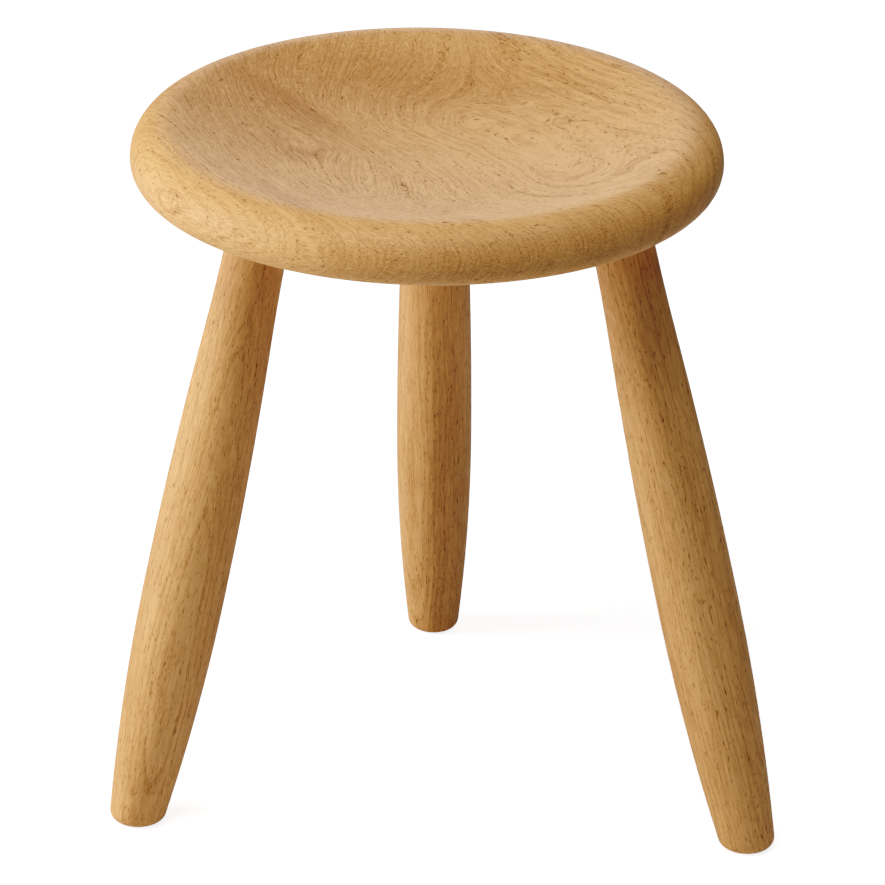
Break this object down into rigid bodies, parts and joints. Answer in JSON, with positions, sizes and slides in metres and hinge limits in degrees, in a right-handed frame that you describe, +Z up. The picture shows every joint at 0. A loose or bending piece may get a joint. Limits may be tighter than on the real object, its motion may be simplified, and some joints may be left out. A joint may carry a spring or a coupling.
{
  "type": "three-legged stool",
  "caption": "Low solid oak stool: a round, softly dished seat on splayed, barrel-turned legs that are tenoned into its underside.",
  "frame": {"origin": "on the floor, straight below the middle of the round seat", "axes": "+Z up from the floor to the seat; +Y towards the back leg; +X to the viewer's right in the picture"},
  "size_m": [0.3992, 0.386, 0.422],
  "materials": {
    "seat_oak": "satin oiled oak",
    "leg_oak": "satin oiled oak"
  },
  "bodies": {
    "root": {"seat": "seat_oak", "back_leg": "leg_oak", "left_leg": "leg_oak", "right_leg": "leg_oak"}
  },
  "joints": []
}
